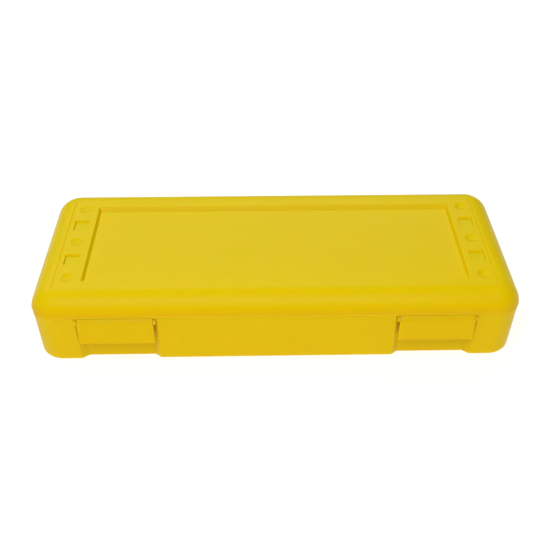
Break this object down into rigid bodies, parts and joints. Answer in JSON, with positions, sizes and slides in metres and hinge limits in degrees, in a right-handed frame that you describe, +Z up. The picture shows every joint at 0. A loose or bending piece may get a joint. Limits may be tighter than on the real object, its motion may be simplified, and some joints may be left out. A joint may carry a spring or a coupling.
{
  "type": "pencil case",
  "caption": "Long moulded pencil case with a hinged lid that has a sunken panel and rows of small recesses, and swinging snap latches at the front.",
  "frame": {"origin": "middle of the underside of the closed case, on the surface it stands on", "axes": "+X along the case's length to the right, -Y to the front where the latches are, +Z up"},
  "size_m": [0.337, 0.1404, 0.0545],
  "materials": {
    "yellow_plastic": "moulded polypropylene, fine satin texture",
    "latch_plastic": "moulded polypropylene, slightly smoother than the case",
    "pin_steel": "drawn wire"
  },
  "bodies": {
    "base": {"base": "yellow_plastic", "hinge_pin_left": "pin_steel", "hinge_pin_right": "pin_steel"},
    "lid": {"lid": "yellow_plastic", "latch_pin_left": "pin_steel", "latch_pin_right": "pin_steel"},
    "latch_left": {"latch_left": "latch_plastic"},
    "latch_right": {"latch_right": "latch_plastic"}
  },
  "joints": [
    {"name": "lid_hinge", "type": "hinge", "parent": "base", "child": "lid", "pos_m": [0, 0.0671, 0.04035], "axis": [-1, 0, 0], "range_deg": [0, 180]},
    {"name": "latch_left_hinge", "type": "hinge", "parent": "lid", "child": "latch_left", "pos_m": [-0.1094, -0.0676, 0.03775], "axis": [-1, 0, 0], "range_deg": [0, 100]},
    {"name": "latch_right_hinge", "type": "hinge", "parent": "lid", "child": "latch_right", "pos_m": [0.1094, -0.0676, 0.03775], "axis": [-1, 0, 0], "range_deg": [0, 100]}
  ]
}
